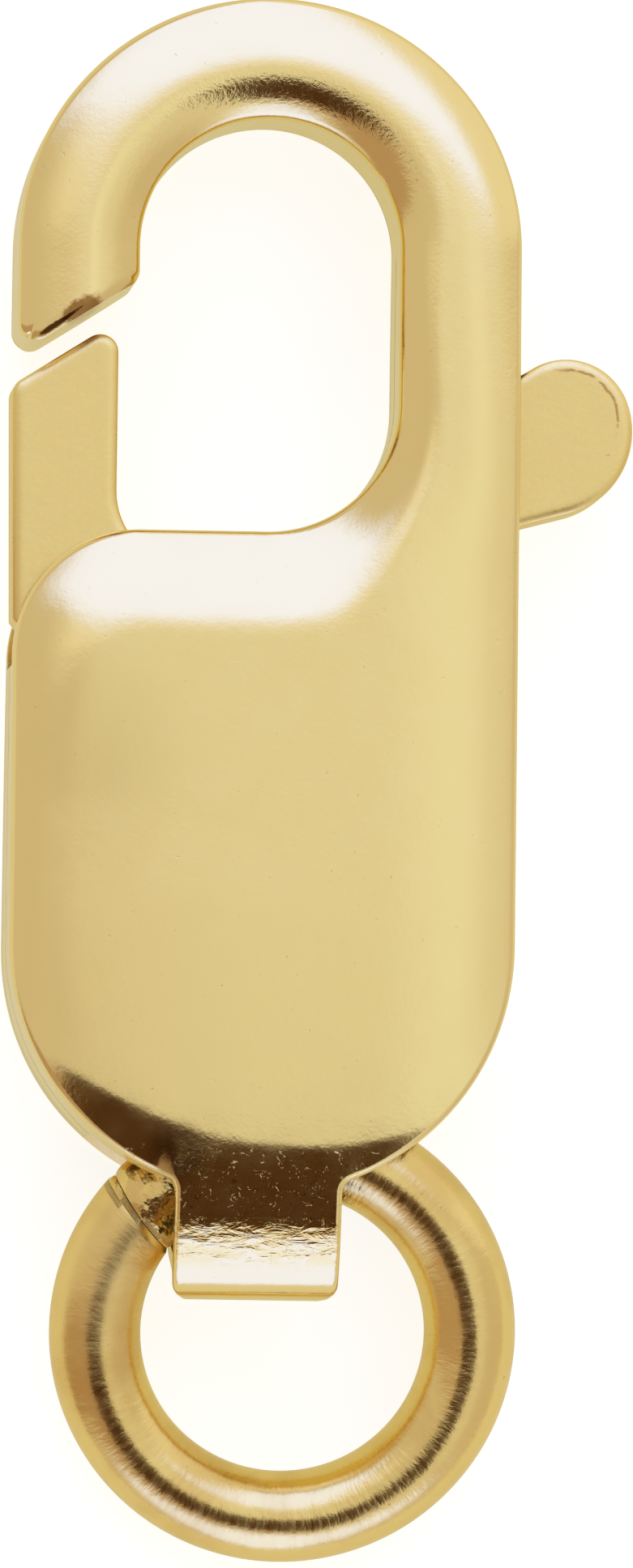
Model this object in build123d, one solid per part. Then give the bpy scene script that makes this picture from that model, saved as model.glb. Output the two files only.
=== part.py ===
from build123d import *
import os
from math import acos, asin, atan2, cos, degrees, radians, sin, sqrt, tan

# Gold lobster clasp with a jump ring, lying on its back. All sizes are in millimetres.
# The clasp is drawn about its seam plane: X across, Y towards the hook, Z out of the front, with
# the origin at the centre of the case's lower round. It is then laid on its back face.

# Outline of the folded case
case_width = 4.44
band_width = 1.07
hook_centre_y = 6.145
opening_floor_y = 3.64
shoulder_radius = 1.115
tip_height = 5.50
tip_angle = 32.5
tip_corner_radius = 0.16

# Depth of the case, from the seam to the rim of each half
half_depth = 0.85
taper_angle = 2.6
dome_rise = 0.26
sheet = 0.22
seam_gap = 0.03

# Loop folded from the neck of the sheet
neck_width = 1.46
neck_front_slope = 18.0
neck_back_slope = -1.0
fold_end_y = -3.12

# Lever with its gate and thumb tab
lever_thickness = 0.76
gate_width = 0.936
gate_reach = 2.25
gate_gap = 0.19
gate_foot_y = 2.85
gate_corner_radius = 0.16
gate_root_radius = 0.66
heel_radius = 0.48
arm_depth = 0.90
arm_end_x = 0.70
arm_rise_angle = -8.0
tab_reach = 3.23
tab_top_y = 5.20
tab_nose_radius = 0.575
tab_nose_start = 120.0
tab_nose_end = 20.0
tab_heel_radius = 0.76
tab_foot_angle = 15.0
tab_foot_x = 1.75
lever_edge = 0.05
open_angle = 18.0

# Pivot
pivot_x = -1.42
pivot_y = 2.58
pin_radius = 0.30
pin_fit = 0.03
pin_end_gap = 0.02

# Jump ring
ring_radius = 1.663
wire_radius = 0.405
ring_shift_x = 0.31
ring_axis_y = -1.75
ring_axis_z = -0.31
ring_cut_angle = 141.0
ring_cut_skew = -14.0
ring_cut_gap = 0.04

# Clearances, and the depth of front wall that stays over the jump ring
lever_clearance = 0.06
wall_clearance = 0.08
ring_clearance = 0.08
front_lip = 0.60

# Values that follow from the sizes above
half_width = case_width / 2
opening_radius = half_width - band_width
margin = band_width / 2
band_middle = half_width - margin
dome_radius = (margin**2 + dome_rise**2) / (2 * dome_rise)
corner_centre_y = opening_floor_y + opening_radius
shoulder_x = shoulder_radius - half_width
shoulder_y = opening_floor_y - shoulder_radius
reach = 4 * half_depth
case_rest = half_depth * cos(radians(taper_angle)) + dome_rise
arm_top_y = opening_floor_y - sheet - wall_clearance
gate_right_x = gate_width - gate_reach
gate_height = tip_height - gate_gap / cos(radians(tip_angle))
slot_half = lever_thickness / 2 + lever_clearance


def at(x, y):
    return Vector(x, y, 0)


def polar(centre, radius, angle):
    turn = radians(angle)
    return centre + Vector(radius * cos(turn), radius * sin(turn), 0)


def round_arc(centre, radius, start, sweep):
    return ThreePointArc(
        polar(centre, radius, start),
        polar(centre, radius, start + sweep / 2),
        polar(centre, radius, start + sweep),
    )


def block(x_range, y_range, z_range):
    ranges = (x_range, y_range, z_range)
    size = [high - low for low, high in ranges]
    middle = [(high + low) / 2 for low, high in ranges]
    return Pos(*middle) * Box(*size)


def corners_at(face, points):
    """The corners of a face that lie at the given points."""
    found = []
    for vertex in face.vertices():
        if min((vertex.center() - point).length for point in points) < 1e-4:
            found.append(vertex)
    return found


def slanted(x, height):
    """Point at x on the slanted line that crosses the middle of the hook's band at a height."""
    return at(x, height + (x + band_middle) * tan(radians(tip_angle)))


def case_outline():
    """Outline of the case and hook, before the tip's corners are rounded."""
    hook = at(0, hook_centre_y)
    corner = at(0, corner_centre_y)
    shoulder = at(shoulder_x, shoulder_y)
    tip_outer = slanted(-half_width, tip_height)
    tip_inner = slanted(-opening_radius, tip_height)
    edges = [
        round_arc(at(0, 0), half_width, 180, 180),
        Line(at(half_width, 0), at(half_width, hook_centre_y)),
        round_arc(hook, half_width, 0, 180),
        Line(at(-half_width, hook_centre_y), tip_outer),
        Line(tip_outer, tip_inner),
        Line(tip_inner, at(-opening_radius, hook_centre_y)),
        round_arc(hook, opening_radius, 180, -180),
        Line(at(opening_radius, hook_centre_y), at(opening_radius, corner_centre_y)),
        round_arc(corner, opening_radius, 0, -90),
        Line(at(0, opening_floor_y), at(shoulder_x, opening_floor_y)),
        round_arc(shoulder, shoulder_radius, 90, 90),
        Line(at(-half_width, shoulder_y), at(-half_width, 0)),
    ]
    return make_face(edges)


def tombstone(radius, left, right):
    """Section in X and Z, round at the top, with the centre of the dome's circle on its axis."""
    centre_z = dome_rise - dome_radius
    disc = Pos(0, centre_z) * Circle(radius)
    stem = Pos(0, (centre_z - reach) / 2) * Rectangle(2 * radius, centre_z + reach)
    window = Pos((left + right) / 2, 0) * Rectangle(right - left, 4 * reach)
    return (disc + stem) & window


def upright(section, x, y):
    return Pos(x, y, 0) * (Plane.XZ * section)


def band_body(radius):
    """Domed band of the rail, the hook's half round and the stub before the tip."""
    section = tombstone(radius, -radius, radius)
    rail_length = hook_centre_y - shoulder_y
    rail = extrude(upright(section, band_middle, shoulder_y), rail_length, dir=(0, 1, 0))
    hook_axis = Axis((0, hook_centre_y, 0), (0, 0, 1))
    hook = revolve(upright(section, band_middle, hook_centre_y), hook_axis, 180)
    stub_length = hook_centre_y - corner_centre_y
    stub = extrude(upright(section, -band_middle, hook_centre_y), stub_length, dir=(0, -1, 0))
    return rail + hook + stub


def corner_body(radius):
    """Domed margin around the opening's lower corner, with the flat sheet beside it."""
    spine = opening_radius + margin
    flat_top = dome_rise - dome_radius + radius
    rising = Pos(spine, 0) * tombstone(radius, -radius, 0)
    flat = Pos(spine + half_width / 2, (flat_top - reach) / 2) * Rectangle(
        half_width, flat_top + reach
    )
    corner_axis = Axis((0, corner_centre_y, 0), (0, 0, 1))
    swept = revolve(upright(rising + flat, 0, corner_centre_y), corner_axis, -90)
    window = block((0, band_middle), (shoulder_y, corner_centre_y), (-2 * reach, 2 * reach))
    return swept & window


def pillow_body(radius):
    """Flat front of the case whose margins fall away as a rolled edge."""
    side = band_middle + radius
    top = opening_floor_y - margin + radius
    corner = shoulder_radius - margin + radius
    edges = [
        round_arc(at(0, 0), side, 180, 180),
        Line(at(side, 0), at(side, shoulder_y)),
        round_arc(at(-shoulder_x, shoulder_y), corner, 0, 90),
        Line(at(-shoulder_x, top), at(shoulder_x, top)),
        round_arc(at(shoulder_x, shoulder_y), corner, 90, 90),
        Line(at(-side, shoulder_y), at(-side, 0)),
    ]
    flat_top = dome_rise - dome_radius + radius
    slab = Pos(0, 0, -reach) * extrude(make_face(edges), flat_top + reach)
    return fillet(slab.edges().group_by(Axis.Z)[-1], radius)


def dome_body(inset):
    """Everything below the front surface, or below its inner side when it is inset."""
    radius = dome_radius - inset
    body = pillow_body(radius) + corner_body(radius) + band_body(radius)
    return Pos(0, 0, half_depth) * Rot(-taper_angle, 0, 0) * body


def half_case():
    """One stamped half: a domed sheet with a side wall down to the seam."""
    face = case_outline()
    hollow = offset(face, -sheet, kind=Kind.INTERSECTION)
    tip = [slanted(-half_width, tip_height), slanted(-opening_radius, tip_height)]
    face = fillet(corners_at(face, tip), tip_corner_radius)
    outside = extrude(face, reach) & dome_body(0)
    inside = Pos(0, 0, -sheet) * extrude(hollow, reach) & dome_body(sheet)
    return outside - inside


def closed_halves():
    """Both halves, soldered along the hook and its tip, and apart along the seam below."""
    front = half_case()
    low = -case_width
    gap = (-seam_gap / 2, seam_gap / 2)
    body_seam = block((low, case_width), (low, corner_centre_y), gap)
    rail_seam = block((0, case_width), (low, hook_centre_y), gap)
    return front + mirror(front, about=Plane.XY) - body_seam - rail_seam


def neck_side(slope, thinner):
    """Half profile of the neck in Y and Z: a straight slope, then a round down to the fold's end."""
    turn = radians(slope)
    start_y = -sqrt(band_middle**2 - (neck_width / 2) ** 2)
    start_z = half_depth + dome_rise - start_y * tan(radians(taper_angle))
    rise = start_z - (start_y - fold_end_y) * tan(turn)
    fold_radius = rise / (1 / cos(turn) - tan(turn))
    radius = fold_radius - thinner
    centre = at(fold_end_y + fold_radius, 0)
    meet = polar(centre, radius, 90 + slope)
    start = at(start_y, meet.Y + (start_y - meet.X) * tan(turn))
    end = polar(centre, radius, 180)
    edges = [
        Line(start, meet),
        round_arc(centre, radius, 90 + slope, 90 - slope),
        Line(end, at(start_y, 0)),
        Line(at(start_y, 0), start),
    ]
    return make_face(edges)


def fold_strap():
    """Neck strip that runs down the front, around the fold and up the back."""
    front = neck_side(neck_front_slope, 0) - neck_side(neck_front_slope, sheet)
    back = neck_side(neck_back_slope, 0) - neck_side(neck_back_slope, sheet)
    ribbon = front + mirror(back, about=Plane.XZ)
    return extrude(Plane.YZ * ribbon, neck_width / 2, both=True)


def turned(point, angle):
    """A point of the lever after it has turned about the pivot."""
    away = point - at(pivot_x, pivot_y)
    heading = degrees(atan2(away.Y, away.X))
    return polar(at(pivot_x, pivot_y), away.length, heading + angle)


def gate_slot():
    """Opening in the side wall at the shoulder, where the gate comes out and swings."""
    root = turned(at(gate_right_x + gate_root_radius, arm_top_y + gate_root_radius), -open_angle)
    drop = root.Y - (opening_floor_y - sheet)
    right = root.X - sqrt(gate_root_radius**2 - drop**2) + wall_clearance
    low = pivot_y - 2 * wall_clearance
    high = opening_floor_y + band_width
    return block((-case_width, right), (low, high), (-slot_half, slot_half))


def tab_slot():
    """Slot in the right side wall for the thumb tab's travel."""
    left = opening_radius + sheet + wall_clearance
    foot = turned(tab_foot(half_width), -open_angle)
    low = foot.Y - wall_clearance
    high = tab_top_y + wall_clearance
    return block((left, case_width), (low, high), (-slot_half, slot_half))


def ring_slot():
    """Gap in the side wall at the neck, where the jump ring passes through the loop."""
    tilt = radians(ring_tilt() + taper_angle)
    centre_y = ring_axis_y - ring_radius * cos(tilt)
    away = sqrt(ring_shift_x**2 + centre_y**2)
    ring_edge = ring_radius + wire_radius
    along = (away**2 + half_width**2 - ring_edge**2) / (2 * away)
    half_chord = sqrt(half_width**2 - along**2)
    middle = ring_shift_x * along / away
    half = half_chord + ring_clearance
    drop = (half_width + ring_axis_y) * tan(tilt)
    low_z = ring_axis_z - drop - wire_radius / cos(tilt) - ring_clearance
    high_z = half_depth - front_lip
    sides = block((middle - half, middle + half), (-case_width, -half_width / 2), (low_z, high_z))
    neck_z = half_depth - sheet / 2
    neck = block(
        (-neck_width / 2, neck_width / 2), (-case_width, -half_width / 2), (-neck_z, neck_z)
    )
    return sides + neck


def folded_case():
    """Case, hook and loop, one piece of folded sheet."""
    body = closed_halves() - ring_slot() - gate_slot() - tab_slot()
    return body + fold_strap()


def tab_nose():
    return at(tab_reach - tab_nose_radius, tab_top_y - tab_nose_radius)


def tab_heel():
    return polar(tab_nose(), tab_nose_radius - tab_heel_radius, tab_nose_end)


def tab_foot(x):
    """Point at x on the tab's straight lower edge."""
    touch = polar(tab_heel(), tab_heel_radius, tab_foot_angle - 90)
    return at(x, touch.Y - (touch.X - x) * tan(radians(tab_foot_angle)))


def touch_angle(point, side):
    """Angle on the heel where a line from the point touches it, on one side or the other."""
    away = point - at(pivot_x, pivot_y)
    heading = degrees(atan2(away.Y, away.X))
    return heading + side * degrees(acos(heel_radius / away.length))


def lever_outline():
    """Outline of the lever: gate on the left, arm inside the case, thumb tab on the right."""
    pivot = at(pivot_x, pivot_y)
    corner = at(0, corner_centre_y)
    arm_round = corner_centre_y - arm_top_y
    arm_rise = polar(corner, arm_round, arm_rise_angle)
    gate_foot = at(-half_width, gate_foot_y)
    gate_outer = slanted(-gate_reach, gate_height)
    gate_inner = slanted(gate_right_x, gate_height)
    gate_root = at(gate_right_x, arm_top_y)
    foot_turn = tab_foot_angle - 90
    arm_end = at(arm_end_x, arm_top_y - arm_depth)
    low_turn = touch_angle(arm_end, -1)
    high_turn = touch_angle(gate_foot, 1) - 360
    edges = [
        Line(gate_foot, gate_outer),
        Line(gate_outer, gate_inner),
        Line(gate_inner, gate_root),
        Line(gate_root, at(0, arm_top_y)),
        round_arc(corner, arm_round, -90, 90 + arm_rise_angle),
        Line(arm_rise, polar(tab_nose(), tab_nose_radius, tab_nose_start)),
        round_arc(tab_nose(), tab_nose_radius, tab_nose_start, tab_nose_end - tab_nose_start),
        round_arc(tab_heel(), tab_heel_radius, tab_nose_end, foot_turn - tab_nose_end),
        Line(polar(tab_heel(), tab_heel_radius, foot_turn), tab_foot(tab_foot_x)),
        Line(tab_foot(tab_foot_x), arm_end),
        Line(arm_end, polar(pivot, heel_radius, low_turn)),
        round_arc(pivot, heel_radius, low_turn, high_turn - low_turn),
        Line(polar(pivot, heel_radius, high_turn), gate_foot),
    ]
    face = make_face(edges)
    face = fillet(corners_at(face, [gate_root]), gate_root_radius)
    return fillet(corners_at(face, [gate_outer, gate_inner]), gate_corner_radius)


def gate_lever():
    """Flat lever with softened edges and a bore for the pivot pin."""
    plate = extrude(lever_outline(), lever_thickness / 2, both=True)
    levels = plate.edges().group_by(Axis.Z)
    plate = fillet(levels[0] + levels[-1], lever_edge)
    bore = Pos(pivot_x, pivot_y, 0) * Cylinder(pin_radius + pin_fit, 2 * lever_thickness)
    return plate - bore


def pivot_pin():
    """Plain pin between the front and back sheets."""
    ceiling = half_depth + dome_rise - sheet
    edge_drop = (pivot_y + pin_radius) * tan(radians(taper_angle))
    length = 2 * (ceiling - edge_drop - pin_end_gap)
    return Pos(pivot_x, pivot_y, 0) * Cylinder(pin_radius, length)


def laid(y, z):
    """Height and distance along the floor of a point of the seam frame, once the clasp is laid."""
    turn = radians(taper_angle)
    return y * cos(turn) + z * sin(turn), z * cos(turn) - y * sin(turn) + case_rest


def ring_tilt():
    """Tilt of the ring when it hangs in the loop and its far side rests on the floor."""
    axis_height = laid(ring_axis_y, ring_axis_z)[1]
    return degrees(asin((axis_height - wire_radius) / (2 * ring_radius)))


def jump_ring():
    """Round wire ring, sawn through once, lying in the loop with its far side on the floor."""
    ring = Torus(ring_radius, wire_radius)
    cut_place = polar(at(0, 0), ring_radius, ring_cut_angle)
    saw = Box(4 * wire_radius, ring_cut_gap, 4 * wire_radius)
    ring -= Pos(cut_place) * Rot(0, 0, ring_cut_angle + ring_cut_skew) * saw
    axis_y, axis_z = laid(ring_axis_y, ring_axis_z)
    return Pos(ring_shift_x, axis_y, axis_z) * Rot(ring_tilt(), 0, 0) * Pos(0, -ring_radius, 0) * ring


def lay_down(piece):
    """Turn a piece of the clasp from the seam frame on to its back face."""
    return Pos(0, 0, case_rest) * Rot(-taper_angle, 0, 0) * piece


def save(piece, name):
    solids = piece.solids()
    export_step(solids[0] if len(solids) == 1 else Compound(solids), f"parts/{name}.step")


os.makedirs("parts", exist_ok=True)
save(lay_down(folded_case()), "folded_case")
save(lay_down(gate_lever()), "gate_lever")
save(lay_down(pivot_pin()), "pivot_pin")
save(jump_ring(), "jump_ring")
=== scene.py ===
"""Gold lobster clasp with a jump ring: its dressed surfaces, gold finishes, studio and camera."""

import math

import bmesh
import bpy
import numpy as np
from mathutils import Matrix, Vector


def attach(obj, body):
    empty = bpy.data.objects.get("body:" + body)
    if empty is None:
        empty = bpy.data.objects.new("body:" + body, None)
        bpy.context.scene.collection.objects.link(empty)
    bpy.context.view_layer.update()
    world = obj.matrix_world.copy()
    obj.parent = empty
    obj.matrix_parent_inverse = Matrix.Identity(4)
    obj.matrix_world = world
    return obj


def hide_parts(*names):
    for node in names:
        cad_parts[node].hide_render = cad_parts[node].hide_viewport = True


bl_info = {
    "name": "Lobster Clasp",
    "version": (1, 0, 0),
    "blender": (4, 5, 0),
    "location": "3D View > Sidebar > Clasp",
    "description": "Builds a gold lobster clasp with its lever and jump ring over an exact model",
    "category": "Add Mesh",
}

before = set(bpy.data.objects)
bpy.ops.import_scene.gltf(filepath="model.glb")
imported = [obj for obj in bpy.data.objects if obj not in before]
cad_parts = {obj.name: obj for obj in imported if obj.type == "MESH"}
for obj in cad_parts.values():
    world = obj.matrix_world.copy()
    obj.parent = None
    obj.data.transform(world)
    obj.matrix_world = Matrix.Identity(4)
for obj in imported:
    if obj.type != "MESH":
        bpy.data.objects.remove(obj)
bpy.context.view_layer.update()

MM = 0.001
MERGE_DISTANCE = 1e-9
SHARP_DEGREES = 32.0
FLOOR_REACH = 0.3
WIRE_MAP = "straight_wire"
POLISH = "tumble polish"


# Plane geometry, in millimetres


def smoothstep(value, low, high):
    """0 below low, 1 above high, and the cubic 3u^2 - 2u^3 between."""
    u = np.clip((value - low) / (high - low), 0, 1)
    return u * u * (3 - 2 * u)


def arc(centre, radius, start, end, count):
    """Points on a circle from one angle to another, in degrees."""
    turn = np.radians(np.linspace(start, end, count))
    return np.stack([centre[0] + radius * np.cos(turn), centre[1] + radius * np.sin(turn)], axis=1)


def heading(away):
    """Angle of plane vectors from the x axis, in degrees."""
    away = np.asarray(away)
    return np.degrees(np.arctan2(away[..., 1], away[..., 0]))


def laid(points, sizes):
    """Turn points of the clasp's seam frame on to its back face, and give them in metres."""
    turn = sizes.taper
    rest = sizes.half_depth / MM * math.cos(turn) + sizes.dome_rise / MM
    x, y, z = points[..., 0], points[..., 1], points[..., 2]
    low = y * math.cos(turn) + z * math.sin(turn)
    high = z * math.cos(turn) - y * math.sin(turn) + rest
    return np.stack([x, low, high], axis=-1) * MM


# Meshes


def belt(start, levels, count):
    """Quads between neighbouring closed rings of count points, numbered from start."""
    here = np.arange(count)
    after = (here + 1) % count
    row = start + np.arange(levels - 1)[:, None] * count
    corners = [row + here, row + after, row + count + after, row + count + here]
    return np.stack(corners, axis=-1).reshape(-1, 4)


def make_object(name, vertices, faces, places=None):
    """A closed mesh object: doubles merged, pinched faces closed up, faces turned outwards.

    Faces are blocks of rows of vertex numbers. A corner that repeats the one before it goes, and
    so does a face with fewer than three corners left. Places, one vector for each vertex, are
    kept as the attribute that the wire's gold reads.
    """
    flat = np.asarray(vertices, dtype=float).reshape(-1, 3)
    key = np.round(flat / MERGE_DISTANCE).astype(np.int64)
    _, first, remap = np.unique(key, axis=0, return_index=True, return_inverse=True)
    corners, totals = [], []
    for block in faces:
        ring = remap.reshape(-1)[np.atleast_2d(block)]
        fresh = ring != np.roll(ring, 1, axis=1)
        fresh[fresh.sum(axis=1) < 3] = False
        corners.append(ring[fresh])
        totals.append(fresh.sum(axis=1))
    used, corners = np.unique(np.concatenate(corners), return_inverse=True)
    totals = np.concatenate(totals)
    totals = totals[totals > 0]
    chosen = first[used]
    mesh = bpy.data.meshes.new(name)
    mesh.vertices.add(len(chosen))
    mesh.vertices.foreach_set("co", flat[chosen].astype(np.float32).ravel())
    mesh.loops.add(len(corners))
    mesh.loops.foreach_set("vertex_index", corners.reshape(-1).astype(np.int32))
    mesh.polygons.add(len(totals))
    mesh.polygons.foreach_set("loop_start", (np.cumsum(totals) - totals).astype(np.int32))
    mesh.update(calc_edges=True)
    mesh.validate()
    work = bmesh.new()
    work.from_mesh(mesh)
    bmesh.ops.recalc_face_normals(work, faces=work.faces)
    work.to_mesh(mesh)
    work.free()
    if places is not None:
        attribute = mesh.attributes.new(WIRE_MAP, "FLOAT_VECTOR", "POINT")
        attribute.data.foreach_set("vector", places[chosen].astype(np.float32).ravel())
    mesh.shade_smooth()
    mesh.set_sharp_from_angle(angle=math.radians(SHARP_DEGREES))
    thing = bpy.data.objects.new(name, mesh)
    bpy.context.scene.collection.objects.link(thing)
    return thing


# Case


class CaseShape:
    """Contours, heights and windows of the folded case, in millimetres about its seam plane."""

    # Cells along the nine parts of the contour, from the tip round the hook to the neck's fillets,
    # then along the neck's flat, its round and its upright end
    PART_CELLS = (26, 96, 26, 44, 26, 44, 30, 74, 12)
    NECK_CELLS = (30, 16, 5)
    NECK_PART = 9
    # The tip's cells widen with this power, and the right side breaks at these shares of its height
    TIP_SPACING = 1.8
    BREAKS = (0.54, 0.36, 0.22)
    ROUND_STEPS = 4
    # Wall levels: their number, and how much of the wall the ring's and lever's levels may take
    WALL_LEVELS = 4
    LEVEL_LIMITS = (0.45, 0.8)
    RIM_DROP = 0.05
    # The hollow's face: how much further in than the sheet, and how far over the wall inside
    HOLLOW_INSET, HOLLOW_DROP = 0.01, 0.02
    # Crown towards the neck, the left and the right: where each starts and how fast it falls
    CROWNS = ((0.44, 0.030), (-0.16, 0.033), (1.0, 0.06))
    LEFT_CROWN_FADE, RIGHT_CROWN_FADE = (1.2, 3.5), (3.2, 5.4)
    # Bowed line above the neck: curve, middle and height. The slope past it: width of the step
    # up, its size, and how it grows
    BOW = (0.153, 0.4, -1.75)
    BEND = (0.10, 0.06, 0.09)
    # Slope of the neck's front at places down the clasp, below the line it shares with the case
    NECK_SLOPES = ((-2.42, 0.30), (-2.62, 0.53), (-2.94, 0.76))
    NECK_FROM = -2.30
    PROFILE_FROM, PROFILE_STEPS = -1.3, 841
    # Where the neck's own profile takes over along it, across it and from the dome
    OWN_FADE, SIDE_FADE, DOME_FADE = (-2.19, -1.60), (-0.02, 0.20), (-1.75, -1.35)
    # Where the rims change: body to rail, left to right, rail to hook, left edge to top edge
    RAIL_FADE, ACROSS_FADE, HOOK_FADE, TOP_FADE = (3.5, 6.0), (-0.6, 0.9), (5.2, 7.6), (1.3, 3.1)
    # Roll of the front on the tip's cut: width and depth
    TIP_ROLL = (0.10, 0.035)

    def __init__(self, sizes):
        self.sizes = sizes
        self.half_width = sizes.case_width / MM / 2
        self.band = sizes.band_width / MM
        self.opening = self.half_width - self.band
        self.hook_y = sizes.hook_centre / MM
        self.floor_y = sizes.opening_floor / MM
        self.corner_y = self.floor_y + self.opening
        self.shoulder = sizes.shoulder_radius / MM
        self.shoulder_x = self.shoulder - self.half_width
        self.shoulder_y = self.floor_y - self.shoulder
        self.half_depth = sizes.half_depth / MM
        self.taper = math.tan(sizes.taper)
        self.rise = sizes.dome_rise / MM
        self.sheet = sizes.sheet / MM
        self.neck = sizes.neck_width / MM / 2
        self.neck_start = -math.sqrt((self.half_width - self.band / 2) ** 2 - self.neck**2)
        self.tip_slope = math.tan(sizes.tip_angle)
        self.tip_y = sizes.tip_height / MM
        self.fold_end = sizes.fold_end / MM
        self.set_neck_front()
        self.set_neck_back()

    def base(self, y):
        """Height of the wall's rim over the seam at y: a straight taper."""
        return self.half_depth - y * self.taper

    def tip_line(self, x):
        """Height y of the tip's slanted cut at x."""
        return self.tip_y + (x + self.half_width - self.band / 2) * self.tip_slope

    def core(self, x, y):
        """Front without its rims: the taper with the dome's whole rise, crowned and bent.

        The crown falls with the square of the distance past its start, to the left, to the right
        and towards the neck. Past a bowed line above the neck the slope steps up and then grows
        steadily.
        """
        (low_y, low_fall), (left_x, left_fall), (right_x, right_fall) = self.CROWNS
        low = np.maximum(low_y - y, 0)
        to_left = np.maximum(left_x - x, 0) * (1 - smoothstep(y, *self.LEFT_CROWN_FADE))
        to_right = np.maximum(x - right_x, 0) * (1 - smoothstep(y, *self.RIGHT_CROWN_FADE))
        crown = low_fall * low**2 + left_fall * to_left**2 + right_fall * to_right**2
        curve, middle, height = self.BOW
        width, slope, growth = self.BEND
        bent = np.maximum(curve * (x - middle) ** 2 + height - y, 0)
        step = np.where(bent < width, bent**2 / (2 * width), bent - width / 2)
        return self.base(y) + self.rise - crown - slope * step - growth * bent**2

    def set_neck_front(self):
        """Front profile of the neck down its middle, and the round that ends it upright.

        It follows the case at first. Then its slope runs straight between the set places, and a
        round touches the last slope and stands upright at the fold's end.
        """
        places = np.array([self.NECK_FROM] + [at for at, _ in self.NECK_SLOPES])
        around = np.array([self.NECK_FROM - 0.005, self.NECK_FROM + 0.005])
        first = np.diff(self.core(np.zeros(2), around))[0] / np.diff(around)[0]
        slopes = np.array([first] + [slope for _, slope in self.NECK_SLOPES])
        y = np.linspace(self.PROFILE_FROM, places[-1], self.PROFILE_STEPS)
        slope = np.interp(-y, -places, slopes)
        fall = np.concatenate([[0], np.cumsum((slope[1:] + slope[:-1]) / 2 * (y[:-1] - y[1:]))])
        own = y < self.NECK_FROM
        z = self.core(np.zeros_like(y), y)
        at = int(np.argmax(own)) - 1
        z = np.where(own, z[at] - (fall - fall[at]), z)
        slope = np.where(own, slope, np.gradient(z, y))
        self.line_y, self.line_z, self.line_slope = y[::-1], z[::-1], slope[::-1]
        steep = math.atan(slopes[-1])
        radius = (places[-1] - self.fold_end) / (1 - math.sin(steep))
        self.front_round = (radius, 90 - math.degrees(steep), z[-1] - radius * math.cos(steep))

    def set_neck_back(self):
        """Back profile of the neck: one straight slope, and a round with its centre on the seam."""
        turn = self.sizes.neck_back_slope
        self.back_slope = math.tan(turn)
        self.back_z = self.half_depth + self.rise - self.neck_start * self.taper
        rise = self.back_z - (self.neck_start - self.fold_end) * self.back_slope
        radius = rise / (1 / math.cos(turn) - self.back_slope)
        self.back_round = (radius, 90 - math.degrees(turn), 0.0)

    def strap(self, y, back):
        """Height of the neck's straight part over y."""
        if not back:
            return np.interp(y, self.line_y, self.line_z)
        radius = self.back_round[0]
        far = np.clip((y - self.fold_end - radius) / radius, -1, 0)
        straight = self.back_z + (y - self.neck_start) * self.back_slope
        return np.minimum(straight, radius * np.sqrt(1 - far**2))

    def strap_curve(self, start, back):
        """Neck from its start to the seam: its points in y and z, and their outward normals."""
        flat, steps, upright = self.NECK_CELLS
        radius, turn_from, centre_z = self.back_round if back else self.front_round
        if back:
            steps, upright = steps + upright, 0
        centre_y = self.fold_end + radius
        meet = centre_y - radius * math.cos(math.radians(turn_from))
        flat_y = np.linspace(start, meet, flat + 1)[1:]
        slope = np.interp(flat_y, self.line_y, self.line_slope)
        if back:
            slope = np.full_like(flat_y, self.back_slope)
        turn = np.radians(np.linspace(turn_from, 0, steps + 1)[1:])
        down = np.linspace(1, 0, upright + 1)[1:]
        end = np.ones(upright)
        return (
            np.concatenate([flat_y, centre_y - radius * np.cos(turn), self.fold_end * end]),
            np.concatenate([self.strap(flat_y, back), centre_z + radius * np.sin(turn),
                            centre_z * down]),
            np.concatenate([-slope / np.hypot(1, slope), -np.cos(turn), -end]),
            np.concatenate([1 / np.hypot(1, slope), np.sin(turn), 0 * end]),
        )

    def stations(self):
        """Left and right contour points for each cross line, with the part each belongs to."""
        w, o = self.half_width, self.opening
        cells = self.PART_CELLS
        left, right, part = [], [], []

        def add(a, b):
            """Next part of both contours, without the point it shares with the part before."""
            skip = 1 if left else 0
            part.append(np.full(len(a) - skip, len(part)))
            left.append(a[skip:])
            right.append(b[skip:])

        def line(start, end, power=1.0):
            """Straight part: the share of the way grows with the set power."""
            share = np.linspace(0, 1, cells[len(part)] + 1)[:, None] ** power
            return np.array(start) * (1 - share) + np.array(end) * share

        def bend(centre, radius, start, end):
            """Round part."""
            return arc(centre, radius, start, end, cells[len(part)] + 1)

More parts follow.
